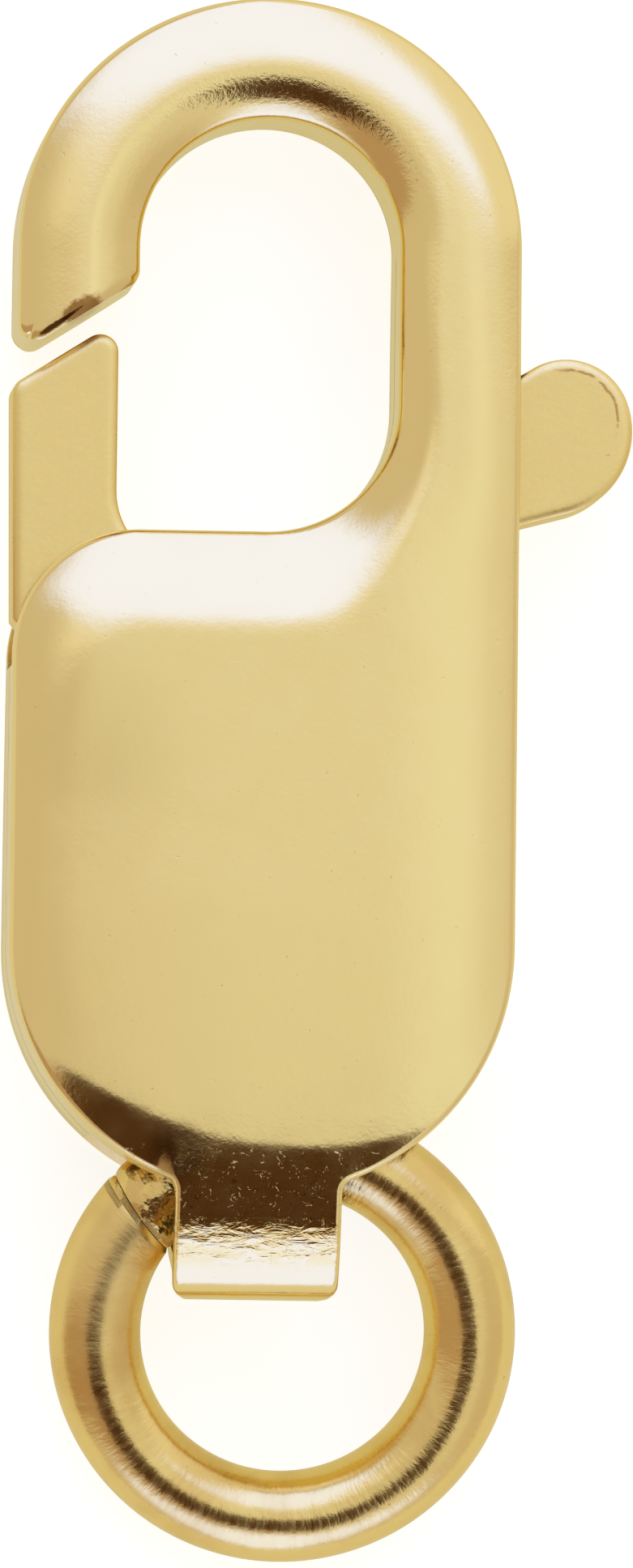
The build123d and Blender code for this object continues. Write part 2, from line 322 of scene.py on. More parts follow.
        hook, corner = (0, self.hook_y), (0, self.corner_y)
        y1, y2, y3 = (self.corner_y * share for share in self.BREAKS)
        add(line((-o, self.tip_line(-o)), (-o, self.hook_y), self.TIP_SPACING),
            line((-w, self.tip_line(-w)), (-w, self.hook_y), self.TIP_SPACING))
        add(bend(hook, o, 180, 0), bend(hook, w, 180, 0))
        add(line((o, self.hook_y), (o, self.corner_y)), line((w, self.hook_y), (w, self.corner_y)))
        add(bend(corner, o, 0, -90), line((w, self.corner_y), (w, y1)))
        add(line((0, self.floor_y), (self.shoulder_x, self.floor_y)), line((w, y1), (w, y2)))
        add(bend((self.shoulder_x, self.shoulder_y), self.shoulder, 90, 180),
            line((w, y2), (w, y3)))
        add(line((-w, self.shoulder_y), (-w, 0)), line((w, y3), (w, 0)))
        fillet = self.sizes.neck_fillet / MM
        centre_x = self.neck + fillet
        centre_y = -math.sqrt((w + fillet) ** 2 - centre_x**2)
        touch = float(heading((-centre_x, centre_y))) % 360
        low = bend((0, 0), w, 180, touch)
        add(low, low * (-1, 1))
        inside = bend((-centre_x, centre_y), fillet, touch - 180, 0)
        add(inside, inside * (-1, 1))
        y = self.strap_curve(centre_y, False)[0]
        radius = self.sizes.fold_corner / MM
        short = np.clip(radius - (y - self.fold_end), 0, radius)
        x = -self.neck + radius - np.sqrt(radius**2 - short**2)
        left.append(np.stack([x, y], axis=1))
        right.append(left[-1] * (-1, 1))
        part.append(np.full(len(y), self.NECK_PART))
        return np.concatenate(left), np.concatenate(right), np.concatenate(part)

    def rounded_tip(self, xy):
        """Both corners of the tip's cut, pulled in to an arc.

        Points in the wedge between an arc's two touching points keep their heading from its
        centre, and their distance shrinks by the arc's radius over the distance to the corner's
        straight sides.
        """
        slant = self.sizes.tip_angle
        radius = self.sizes.tip_corner / MM
        out = np.array(xy, dtype=float)
        away_cut = np.array([math.sin(slant), -math.cos(slant)])
        for side_x, side in ((-self.half_width, -1), (-self.opening, 1)):
            centre_x = side_x - side * radius
            centre = np.array([centre_x, self.tip_line(centre_x) + radius / math.cos(slant)])
            offset = out - centre
            cross = side * away_cut[1]
            along_side = (offset[..., 0] * away_cut[1] - offset[..., 1] * away_cut[0]) / cross
            along_cut = side * offset[..., 1] / cross
            reach = np.maximum(np.maximum(side * offset[..., 0], offset @ away_cut), 1e-9)
            inside = (along_side > 0) & (along_cut > 0) & (reach < radius + 1e-6)
            size = np.maximum(np.linalg.norm(offset, axis=-1), 1e-9)
            out = centre + offset * np.where(inside, reach / size, 1.0)[..., None]
        return out

    def rolled(self, distance, margin, start, power):
        """Share of the dome's rise near an edge: its start there, 1 on the margin, by a power."""
        u = np.clip(distance / margin, 0, 1)
        return start + (1 - start) * (1 - (1 - u) ** power)

    def height(self, x, y, back):
        """Surface over the seam plane.

        The straight taper, plus the dome's rise times one share for the edge on the opening's
        side and one for the outer edge. Each share starts at its own level on the edge and grows
        to 1 over its margin. The front also takes the core's crown and bend, and the tip's cut
        rolls down by a square law.
        """
        w, o = self.half_width, self.opening
        hook_r = np.hypot(x, y - self.hook_y)
        low_r = np.hypot(x, y)
        dx, dy = self.shoulder_x - x, y - self.shoulder_y
        left = np.where(dy > 0, self.floor_y - y, w + x)
        left = np.where((dx > 0) & (dy > 0), self.shoulder - np.hypot(dx, dy), left)
        inner = np.select(
            [y > self.hook_y, y > self.corner_y, x > 0],
            [hook_r - o, np.abs(x) - o, np.hypot(x, y - self.corner_y) - o], left,
        )
        outer = np.select([y > self.hook_y, y > self.corner_y], [w - hook_r, w - np.abs(x)], w - x)
        # Weights of the regions: hook against rail, rail against body, top edge against left edge
        rail = smoothstep(y, *self.RAIL_FADE)
        on_rail = smoothstep(x, *self.ACROSS_FADE) * (1 - smoothstep(y, *self.HOOK_FADE))
        hook = np.where(y > self.corner_y, 1 - on_rail, 0.0)
        side = 1 - smoothstep(y, *self.TOP_FADE)

        def mixed(body, at_rail, at_hook):
            """Value blended over body, rail and hook."""
            return (body * (1 - rail) + at_rail * rail) * (1 - hook) + at_hook * hook

        # Margin, start level and power of the two edges, each for body, rail and hook
        inner_share = self.rolled(
            inner,
            mixed(0.95 - 0.35 * side - 0.50 * smoothstep(x, 0.5, 1.5), 0.35, 0.476),
            mixed(0.50 * side, 0.40, 0.33),
            mixed(2.0 + side, 2.0, 2.0),
        )
        outer_share = self.rolled(
            outer, mixed(0.60, 0.62, 0.62), mixed(0.80, 0.50, 0.40), mixed(3.0, 3.0, 2.0)
        )
        down = smoothstep(-y / np.maximum(low_r, 0.1), 0.0, 0.6)
        low_start = (0.50 + 0.30 * smoothstep(x, -1.0, 1.0)) * (1 - down) + 0.97 * down
        low_share = self.rolled(w - low_r, 0.60, low_start, 3.0 - down)
        z = self.base(y) + self.rise * np.where(y < 0, low_share, inner_share * outer_share)
        if not back:
            z = z + self.core(x, y) - self.base(y) - self.rise
        width, depth = self.TIP_ROLL
        cut = (y - self.tip_line(x)) * math.cos(self.sizes.tip_angle)
        near_tip = (x < 0) & (y > self.corner_y - 0.2)
        return z - np.where(near_tip, depth * np.clip(1 - cut / width, 0, 1) ** 2, 0)

    def front(self, x, y, back):
        """Surface with the neck: over the neck's width the dome gives way to the neck's profile."""
        dome = self.height(x, y, back)
        neck = self.strap(y, back)
        near, far = self.SIDE_FADE
        weight = 1 - smoothstep(np.abs(x), self.neck + near, self.neck + far)
        if back:
            weight = weight * (1 - smoothstep(y, self.neck_start - 0.1, self.neck_start))
            return dome + np.maximum(neck - dome, 0) * weight
        middle = self.core(x, y)
        target = middle + (neck - middle) * (1 - smoothstep(y, *self.OWN_FADE))
        return dome + (target - dome) * weight * (1 - smoothstep(y, *self.DOME_FADE))

    def into_metal(self, contour, other, side, part):
        """Step into the metal that leaves a contour by one unit.

        It is square to the contour, but runs along the cross line at the tip's cut and straight
        across at the neck.
        """
        tangent = np.gradient(contour, axis=0)
        size = np.maximum(np.linalg.norm(tangent, axis=1, keepdims=True), 1e-9)
        square = side * np.stack([-tangent[:, 1], tangent[:, 0]], axis=1) / size
        across = other - contour
        slanted = across / np.abs(across[:, :1])
        step = np.where((part == 0)[:, None], slanted, square)
        return np.where((part == self.NECK_PART)[:, None], np.array([side, 0.0]), step)

    def half(self, back, cells):
        """Outer and inner grids of one half over the seam, its standing quads and hollow's start.

        Each row runs up the left wall, round its rim, over the dome and down the right wall.
        """
        left, right, part = self.stations()
        sheet, drop = self.sheet, self.RIM_DROP
        seam = np.where(part <= 1, 0.0, self.sizes.seam_gap / MM / 2)
        ring_top = self.half_depth - self.sizes.front_lip / MM
        slot_top = self.sizes.slot_depth / MM
        ring_share, slot_share = self.LEVEL_LIMITS
        edges = [
            (contour, self.into_metal(contour, other, side, part), self.front(*contour.T, back))
            for contour, other, side in ((left, right, 1), (right, left, -1))
        ]
        t = 0.5 - 0.5 * np.cos(np.pi * np.linspace(0, 1, cells + 1))
        f = np.linspace(0, 1, self.ROUND_STEPS + 1)

        def wall(points, rim):
            """Wall points on each level, from the seam up to where the rim's round starts."""
            top = rim - drop
            levels = (seam, np.minimum(ring_top, ring_share * top),
                      np.minimum(slot_top, slot_share * top), top)
            xy = self.rounded_tip(points)
            return np.stack([np.column_stack([xy, z]) for z in levels], axis=1)

        def dome(inset):
            """Rows over the dome along each cross line, from inset to inset."""
            a, b = (contour + into * inset for contour, into, _ in edges)
            xy = a[:, None] * (1 - t[None, :, None]) + b[:, None] * t[None, :, None]
            z = self.front(xy[..., 0], xy[..., 1], back)
            return np.concatenate([self.rounded_tip(xy), z[..., None]], axis=2)

        def rounded(points, into, rim, first):
            """Rounded rim between wall and dome: a quadratic curve in inset and height."""
            g = f[None, 1:-1]
            xy = self.rounded_tip(points[:, None] + into[:, None] * (g * g * drop)[..., None])
            rim, first = rim[:, None], first[:, None]
            z = (1 - g) ** 2 * (rim - drop) + 2 * g * (1 - g) * rim + g * g * first
            return np.concatenate([xy, z[..., None]], axis=2)

        top, under = dome(drop), dome(sheet + self.HOLLOW_INSET)
        under[..., 2] -= sheet
        outsides, insides = [], []
        for (contour, into, rim), at in zip(edges, (0, -1)):
            round_rows = rounded(contour, into, rim, top[:, at, 2])
            outsides.append(np.concatenate([wall(contour, rim), round_rows], axis=1))
            inside, edge = wall(contour + into * sheet, rim), under[:, [at]]
            inside[..., 2] = np.minimum(inside[..., 2], edge[..., 2] - self.HOLLOW_DROP)
            g = f[None, 1:-1, None]
            insides.append(np.concatenate([inside, inside[:, -1:] * (1 - g) + edge * g], axis=1))
        outer = np.concatenate([outsides[0], top, outsides[1][:, ::-1]], axis=1)
        inner = np.concatenate([insides[0], under, insides[1][:, ::-1]], axis=1)

        # The neck is a bare strip: its profile in y and z, with both edges square to it
        rows = outer.shape[1]
        neck, fillet = part == self.NECK_PART, part == self.NECK_PART - 1
        start = left[fillet][-1, 1]
        y, z, normal_y, normal_z = (v[:, None] for v in self.strap_curve(start, back))
        low, high = self.WALL_LEVELS - 1, rows - self.WALL_LEVELS
        inset = np.zeros(rows)
        inset[low:low + len(f)] = (1 - f) ** 2 * drop
        inset[high - len(f) + 1:high + 1] = f**2 * drop
        inner[neck, :, 0] = outer[neck, :, 0]
        for grid, depth in ((outer, inset), (inner, sheet)):
            grid[neck, :, 1] = y - normal_y * depth
            grid[neck, :, 2] = z - normal_z * depth
        inner[fillet] = outer[fillet] - np.array([0, 0, sheet])
        hollow_from = int(np.flatnonzero(part == 1)[-1])
        inner[:hollow_from + 1, :, 2] = 0.0
        return outer, inner, self.windows(left, right, part, rows, back), hollow_from

    def windows(self, left, right, part, rows, back):
        """Which quads stand: all but the gate's, tab's and ring's slots and the neck's sides."""
        sizes = self.sizes
        (left_x, left_y), (right_x, right_y) = (
            ((side[1:] + side[:-1]) / 2).T for side in (left, right)
        )
        part = part[1:]
        gate = (part >= 4) & (part <= 6) & (left_x < sizes.gate_slot_right / MM)
        gate &= left_y > sizes.gate_slot_low / MM
        tab = (part >= 2) & (part <= 5) & (right_y < sizes.tab_slot_high / MM)
        tab &= right_y > sizes.tab_slot_low / MM
        low = (part == 7) & (left_y < -self.half_width / 2)
        ring_depth = 3 if back else 1
        keep = np.ones((len(left) - 1, rows - 1), dtype=bool)
        for slot, from_left, from_right in (
            (gate, 2, 0),
            (tab, 0, 2),
            (low & (left_x > sizes.ring_slot_left / MM), ring_depth, 0),
            (low & (right_x < sizes.ring_slot_right / MM), 0, ring_depth),
            (part >= self.NECK_PART - 1, 3, 3),
        ):
            keep[slot, :from_left] = False
            keep[slot, rows - 1 - from_right:] = False
        return keep


def grid_quads(start, keep):
    """Standing quads of a grid whose vertices are numbered from start, row by row."""
    rows, columns = keep.shape[0] + 1, keep.shape[1] + 1
    index = start + np.arange(rows * columns).reshape(rows, columns)
    corners = [index[:-1, :-1], index[1:, :-1], index[1:, 1:], index[:-1, 1:]]
    return np.stack(corners, axis=-1)[keep]


def rim_faces(keep, outer_start, inner_start, skip_seam_before):
    """Quads that join the outer and inner grids around every slot and open edge."""
    rows, columns = keep.shape[0] + 1, keep.shape[1] + 1
    index = np.arange(rows * columns).reshape(rows, columns)
    padded = np.pad(keep, 1)
    along = padded[1:-1, :-1] != padded[1:-1, 1:]
    along[:skip_seam_before, [0, -1]] = False
    across = padded[:-1, 1:-1] != padded[1:, 1:-1]
    across[[0, -1]] = False
    faces = []
    for edges, down, over in ((along, 1, 0), (across, 0, 1)):
        i, j = np.nonzero(edges)
        a, b = index[i, j], index[i + down, j + over]
        corners = [outer_start + a, outer_start + b, inner_start + b, inner_start + a]
        faces.append(np.stack(corners, axis=1))
    return np.concatenate(faces)


def build_case(sizes):
    """Both halves of the case as one closed skin with its slots, seam and folded loop."""
    shape = CaseShape(sizes)
    points, faces = [], []
    start = 0
    for back in (False, True):
        outer, inner, keep, hollow_from = shape.half(back, sizes.cells)
        rows = outer.shape[1]
        size = outer.shape[0] * rows
        inner_keep = keep.copy()
        inner_keep[:hollow_from] = False
        mirror = np.array([1, 1, -1 if back else 1])
        points += [(outer * mirror).reshape(-1, 3), (inner * mirror).reshape(-1, 3)]
        faces.append(grid_quads(start, keep))
        faces.append(grid_quads(start + size, inner_keep)[:, ::-1])
        faces.append(rim_faces(keep, start, start + size, hollow_from))
        start += 2 * size
    # The tip's cut: quads between the two domes' first rows, and a face for each wall
    half = start // 2
    low, high = shape.WALL_LEVELS, rows - shape.WALL_LEVELS - 1
    a = np.arange(low, high)
    faces.append(np.stack([a, a + 1, half + a + 1, half + a], axis=1))
    faces.append(np.concatenate([np.arange(low + 1), half + np.arange(low, 0, -1)]))
    faces.append(np.concatenate([np.arange(high, rows), half + np.arange(rows - 2, high - 1, -1)]))
    return make_object("case", laid(np.concatenate(points), sizes), faces)


# Lever


# Points on the outline's corners, root, arm and rounds, then round the bore and over an edge
CORNER_POINTS, ROOT_POINTS, ARM_POINTS, ROUND_POINTS = 14, 18, 26, 40
BORE_POINTS, EDGE_POINTS = 48, 7
# Width of flat face kept beside the rounded edge, and where the face is cut, in degrees
EDGE_MARGIN = 0.03
FACE_CUTS = (52.0, -110.0)


def eased(before, point, after, radius, count):
    """Corner rounded by an arc that touches both its lines."""
    point = np.array(point, dtype=float)
    u, v = (np.array(end) - point for end in (before, after))
    u, v = u / np.linalg.norm(u), v / np.linalg.norm(v)
    half = math.acos(float(np.clip(u @ v, -1, 1))) / 2
    centre = point + (u + v) / np.linalg.norm(u + v) * radius / math.sin(half)
    start = heading(point + u * radius / math.tan(half) - centre)
    end = heading(point + v * radius / math.tan(half) - centre)
    return arc(centre, radius, start, start + (end - start + 180) % 360 - 180, count)


def lever_outline(sizes, lever):
    """Outline of the lever in the seam plane, from the gate's foot round the tab, and its pivot."""
    shape = CaseShape(sizes)
    gate_left = -lever.gate_reach / MM
    gate_right = lever.gate_width / MM + gate_left
    top = shape.floor_y - shape.sheet - lever.wall_clearance / MM
    gap = lever.gate_gap / MM / math.cos(sizes.tip_angle)
    pivot = (lever.pivot_x / MM, lever.pivot_y / MM)
    nose_r, heel_r = lever.nose_radius / MM, lever.tab_heel_radius / MM
    nose = np.array([lever.tab_reach / MM - nose_r, lever.tab_top / MM - nose_r])
    along_nose = np.array([math.cos(lever.nose_end), math.sin(lever.nose_end)])
    heel = nose + (nose_r - heel_r) * along_nose
    arm_rise, nose_start, nose_end, foot_angle = (
        math.degrees(angle)
        for angle in (lever.arm_rise, lever.nose_start, lever.nose_end, lever.foot_angle)
    )
    foot_turn = foot_angle - 90
    touch = arc(heel, heel_r, foot_turn, foot_turn, 1)[0]
    foot_x = lever.foot_x / MM
    foot = (foot_x, touch[1] - (touch[0] - foot_x) * math.tan(lever.foot_angle))
    arm_end = (lever.arm_end_x / MM, top - lever.arm_depth / MM)
    gate_foot = (-shape.half_width, lever.gate_foot / MM)
    round_r = lever.heel_radius / MM

    def touch_angle(point, side):
        """Heading from the pivot where a line through the point touches the round about it."""
        away = np.array(point) - pivot
        return heading(away) + side * math.degrees(math.acos(round_r / np.hypot(*away)))

    gate_outer = (gate_left, shape.tip_line(gate_left) - gap)
    gate_inner = (gate_right, shape.tip_line(gate_right) - gap)
    gate_root = (gate_right, top)
    corner_r = lever.gate_corner / MM
    parts = [
        [gate_foot],
        eased(gate_foot, gate_outer, gate_inner, corner_r, CORNER_POINTS),
        eased(gate_outer, gate_inner, gate_root, corner_r, CORNER_POINTS),
        eased(gate_inner, gate_root, (0, top), lever.root_radius / MM, ROOT_POINTS),
        arc((0.0, shape.corner_y), shape.corner_y - top, -90, arm_rise, ARM_POINTS),
        arc(nose, nose_r, nose_start, nose_end, ROUND_POINTS),
        arc(heel, heel_r, nose_end, foot_turn, ROUND_POINTS)[1:],
        [foot],
        [arm_end],
        arc(pivot, round_r, touch_angle(arm_end, -1), touch_angle(gate_foot, 1) - 360,
            ROUND_POINTS),
    ]
    return np.concatenate([np.array(p, dtype=float).reshape(-1, 2) for p in parts]), pivot


def inward_step(points):
    """Step that moves each of a closed outline's sides in by one unit.

    It follows the mean normal of the two sides at a point, over the cosine of half their turn.
    """
    before = points - np.roll(points, 1, axis=0)
    after = np.roll(points, -1, axis=0) - points
    before /= np.linalg.norm(before, axis=1, keepdims=True)
    after /= np.linalg.norm(after, axis=1, keepdims=True)
    mean = before + after
    mean /= np.linalg.norm(mean, axis=1, keepdims=True)
    lean = np.maximum(np.sum(before * mean, axis=1, keepdims=True), 0.5)
    return np.stack([mean[:, 1], -mean[:, 0]], axis=1) / lean


def build_lever(sizes, lever):
    """Flat plate with a rounded edge: its profile of inset and height is carried round the outline.

    The edge is a quarter of an ellipse. The bore is the same profile carried round a circle. Both
    flat faces are two polygons each, parted on a line through the bore.
    """
    outline, pivot = lever_outline(sizes, lever)
    x, y = outline.T
    if np.sum(x * np.roll(y, -1) - y * np.roll(x, -1)) > 0:
        outline = outline[::-1]
    half = lever.thickness / MM / 2
    edge, depth = lever.edge_radius / MM, lever.edge_depth / MM
    turn = np.linspace(0, np.pi / 2, EDGE_POINTS)
    inset = np.concatenate([[0], edge * (1 - np.cos(turn[1:])), [edge + EDGE_MARGIN]])
    height = np.concatenate([[half - depth], half - depth + depth * np.sin(turn[1:]), [half]])
    profile_in = np.concatenate([inset[::-1], inset])
    profile_z = np.concatenate([height[::-1], -height])
    levels = len(profile_in)
    bore = arc(pivot, lever.bore_radius / MM, 0, 360, BORE_POINTS + 1)[:-1]

    def carried(path):
        """Profile carried round a closed path, ring by ring."""
        xy = path + inward_step(path) * profile_in[:, None, None]
        z = np.broadcast_to(profile_z[:, None, None], (*xy.shape[:2], 1))
        return np.concatenate([xy, z], axis=2).reshape(-1, 3)

    n_rim, n_hole = len(outline), len(bore)
    hole_start = levels * n_rim
    faces = [belt(0, levels, n_rim), belt(hole_start, levels, n_hole)]
    rim_heading, bore_heading = heading(outline - pivot), heading(bore - pivot)

    def turned(angles, target):
        """Size of the turn from angles to a target, in degrees."""
        return np.abs((angles - target + 180) % 360 - 180)

    cuts, ends = (
        [int(np.argmin(turned(angles, cut))) for cut in FACE_CUTS]
        for angles in (rim_heading, bore_heading)
    )
    for level in (0, levels - 1):
        rim_at, bore_at = level * n_rim, hole_start + level * n_hole
        for first, second in ((0, 1), (1, 0)):
            span = (cuts[second] - cuts[first]) % n_rim
            outside = (cuts[first] + np.arange(span + 1)) % n_rim
            forward = (ends[second] - ends[first]) % n_hole
            ways = (
                (ends[first] + np.arange(forward + 1)) % n_hole,
                (ends[first] - np.arange(n_hole - forward + 1)) % n_hole,
            )
            middle = rim_heading[outside[len(outside) // 2]]
            inside = min(ways, key=lambda way: turned(bore_heading[way[len(way) // 2]], middle))
            faces.append(np.concatenate([rim_at + outside, (bore_at + inside)[::-1]]))
    points = np.concatenate([carried(outline), carried(bore)])
    return make_object("lever", laid(points, sizes), faces)


# Jump ring


# How far the shear of the sawn ends reaches along the wire, in radii of the wire
SHEAR_REACH = 2.5


def build_ring(ring):
    """Round wire carried round a circle, closed by flat sawn ends.

    The wire's section is a circle. Near each end its points are sheared into the saw's plane, by
    the tangent of the skew times their distance from the ring's centre line over the radius, and
    the last of the wire narrows by a quarter round. Each point also keeps its place on the wire
    pulled straight: length along it, then its section.
    """
    radius, wire, edge = ring.ring_radius / MM, ring.wire_radius / MM, ring.cut_edge / MM
    along, around = ring.cells_along, ring.cells_around
    cut = ring.cut_angle
    half = ring.cut_gap / MM / 2 / radius
    share = np.linspace(0, 1, along)
    turn = np.linspace(0, 2 * np.pi, around, endpoint=False)
    near = np.minimum(share, 1 - share) * 2 * np.pi * radius
    blend = np.clip(1 - near / (SHEAR_REACH * wire), 0, 1)[:, None]
    lean = np.tan(ring.cut_skew) * wire * np.cos(turn) / radius * blend
    theta = (cut + half + (2 * np.pi - 2 * half) * share)[:, None] + lean
    ease = np.sqrt(np.clip(1 - (1 - np.clip(near / edge, 0, 1)) ** 2, 0, 1))
    section = (wire - edge + edge * ease)[:, None]
    out, z = section * np.cos(turn), section * np.sin(turn)
    x = (radius + out) * np.cos(theta) + ring.shift_x / MM
    y = (radius + out) * np.sin(theta) - radius
    laid_y = y * math.cos(ring.tilt) - z * math.sin(ring.tilt) + ring.axis_y / MM
    laid_z = y * math.sin(ring.tilt) + z * math.cos(ring.tilt) + ring.axis_z / MM
    ends = np.arange(around)
    faces = [belt(0, along, around), ends, (along - 1) * around + ends]
    straight = np.stack([np.mod(theta - cut, 2 * np.pi) * radius, out, z], axis=-1).reshape(-1, 3)
    return make_object("ring", np.stack([x, laid_y, laid_z], axis=-1) * MM, faces, straight)


# Nodes


def add(tree, kind, *values, output=0, **settings):
    """A node with its settings, its first inputs given as values or as links, and one output."""
    made = tree.nodes.new(kind)
    for key, value in settings.items():
        setattr(made, key, value)
    for place_in, value in zip(made.inputs, values):
        if isinstance(value, bpy.types.NodeSocket):
            tree.links.new(value, place_in)
        elif value is not None:
            place_in.default_value = value
    return made.outputs[output]


def maths(tree, operation, *values):
    """Result of an operation on values or links."""
    return add(tree, "ShaderNodeMath", *values, operation=operation)


def times(tree, first, second):
    """Product of two values."""
    return maths(tree, "MULTIPLY", first, second)


def scaled(tree, vector, scale):
    """Vector with each of its parts multiplied."""
    return add(tree, "ShaderNodeVectorMath", vector, scale, operation="MULTIPLY")


def span(tree, value, low, high, start=0.0, end=1.0):
    """Straight run of a value from one level to another, and no further."""
    return add(tree, "ShaderNodeMapRange", value, low, high, start, end)


def ramp(tree, value, low, high, start=0.0, end=1.0):
    """Smooth step of a value from one level to another."""
    return add(tree, "ShaderNodeMapRange", value, low, high, start, end,
               interpolation_type="SMOOTHSTEP")


def between(tree, value, low, high, soft):
    """1 between two limits and 0 outside, with soft edges."""
    up = ramp(tree, value, low - soft, low + soft)
    return times(tree, up, ramp(tree, value, high - soft, high + soft, 1.0, 0.0))


def noise(tree, vector, scale, detail=2.0, rough=0.5, distortion=0.0):
    """Noise over a vector, from 0 to 1."""
    made = add(tree, "ShaderNodeTexNoise", vector).node
    for key, value in (
        ("Scale", scale), ("Detail", detail), ("Roughness", rough), ("Distortion", distortion)
    ):
        made.inputs[key].default_value = value
    return made.outputs["Fac"]


def bump(tree, height, depth, under=None):
    """Normal of a relief: the height's share times a depth in metres."""
    made = tree.nodes.new("ShaderNodeBump")
    made.inputs["Strength"].default_value = 1.0
    made.inputs["Distance"].default_value = depth
    tree.links.new(height, made.inputs["Height"])
    if under is not None:
        tree.links.new(under, made.inputs["Normal"])
    return made.outputs["Normal"]


def distance_from(tree, vector, centre):
    """Distance from an upright axis through a centre, in millimetres, and the offset from it."""
    away = tuple(-value for value in centre)
    moved = add(tree, "ShaderNodeVectorMath", vector, (*away, 0), operation="ADD")
    flat = scaled(tree, moved, (1, 1, 0))
    return add(tree, "ShaderNodeVectorMath", flat, operation="LENGTH", output=1), flat


def patch(tree, vector, centre, reach, turn, ragged, soft):
    """Mask of an oval stain about a centre in millimetres, its edge frayed by noise."""
    moved = add(
        tree, "ShaderNodeMapping", vector, (*centre, 0), (0, 0, math.radians(turn)), (*reach, 1),
        vector_type="TEXTURE",
    )
    away, _ = distance_from(tree, moved, (0, 0))
    fray = maths(tree, "MULTIPLY_ADD", noise(tree, vector, 9.0, 4.0, 0.7), ragged, -ragged / 2)
    return ramp(tree, maths(tree, "ADD", away, fray), 1 - soft, 1 + soft, 1.0, 0.0)


def blended(tree, share, under, over, blend="MIX"):
    """Colour laid over another one by a share."""
    skipped = [None] * 5
    return add(tree, "ShaderNodeMix", share, *skipped, under, over, output=2,
               data_type="RGBA", blend_type=blend)


def tinted(tree, base, *stains):
    """Colour with stains laid over it: each a mask, a colour and a strength."""
    colour = base if isinstance(base, bpy.types.NodeSocket) else (*base, 1)
    for mask, stain, strength in stains:
        colour = blended(tree, times(tree, mask, strength), colour, (*stain, 1))
    return colour


# Gold


def shared_polish():
    """Tumble polish shared by every piece: fine grain, shallow waves and pits.

    Takes a place in millimetres and gives the relief's normal, a mask of pits and the
    unevenness of the gloss.
    """
    if POLISH in bpy.data.node_groups:
        return bpy.data.node_groups[POLISH]
    tree = bpy.data.node_groups.new(POLISH, "ShaderNodeTree")
    for name, way, kind in (
        ("Place", "INPUT", "Vector"), ("Normal", "OUTPUT", "Vector"),
        ("Pits", "OUTPUT", "Float"), ("Haze", "OUTPUT", "Float"),
    ):
        tree.interface.new_socket(name, in_out=way, socket_type="NodeSocket" + kind)
    place_at = tree.nodes.new("NodeGroupInput").outputs["Place"]
    outside = tree.nodes.new("NodeGroupOutput")
    waves = bump(tree, noise(tree, place_at, 1.6, 1.0), 2.5e-6)
    tumble = bump(tree, noise(tree, place_at, 10.0, 2.0, 0.6), 0.85e-6, waves)
    grain = bump(tree, noise(tree, place_at, 30.0, 2.0, 0.6), 0.60e-6, tumble)
    pits = ramp(tree, noise(tree, place_at, 16.0, 2.0, 0.7), 0.70, 0.78)
    pitted = bump(tree, maths(tree, "SUBTRACT", 1.0, pits), 0.5e-6, grain)
    haze = noise(tree, place_at, 2.3, 3.0, 0.6)
    for key, value in (("Normal", pitted), ("Pits", pits), ("Haze", haze)):
        tree.links.new(value, outside.inputs[key])
    return tree


def start_gold(name):
    """New material: its tree, its place in millimetres, and the polish's normal, pits and haze."""
    material = bpy.data.materials.new(name)
    material.use_nodes = True
    tree = material.node_tree
    place_at = scaled(tree, add(tree, "ShaderNodeTexCoord", output=3), (1 / MM,) * 3)
    polish = tree.nodes.new("ShaderNodeGroup")
    polish.node_tree = shared_polish()
    tree.links.new(place_at, polish.inputs["Place"])
    return (material, tree, place_at, *polish.outputs)


def finish_gold(material, colour, rough, normal):
    """Give a material its metal: colour, roughness and normal, all as links."""
    tree = material.node_tree
    shader = tree.nodes["Principled BSDF"]
    shader.inputs["Metallic"].default_value = 1.0
    for key, value in (("Base Color", colour), ("Roughness", rough), ("Normal", normal)):
        tree.links.new(value, shader.inputs[key])
    return material


PIT_COLOUR = (0.45, 0.30, 0.10)
# Stains and painted dark reflections of the case: centre and reach in millimetres, turn in degrees,
# raggedness and softness
# Painted dark reflection: a brown patch on the tip beside its cut
TIP_PAINTED_REFLECTION = ((-1.66, 5.60), (0.20, 0.085), 30, 1.3, 0.25)
BLOTCH = ((-1.38, 1.70), (0.42, 0.62), 0, 0.35, 0.9)
NECK_STAINS = ((-0.1, -2.25), (1.3, 0.42), 0, 0.5, 0.6)
# Painted dark reflection: a dark brown patch on the front beside the neck's left side
NECK_PAINTED_REFLECTION = ((-0.72, -1.79), (0.20, 0.19), 0, 0.5, 0.7)
# Centre of the tab's nose on the finished lever, in millimetres
TAB_NOSE = (2.655, 4.70)


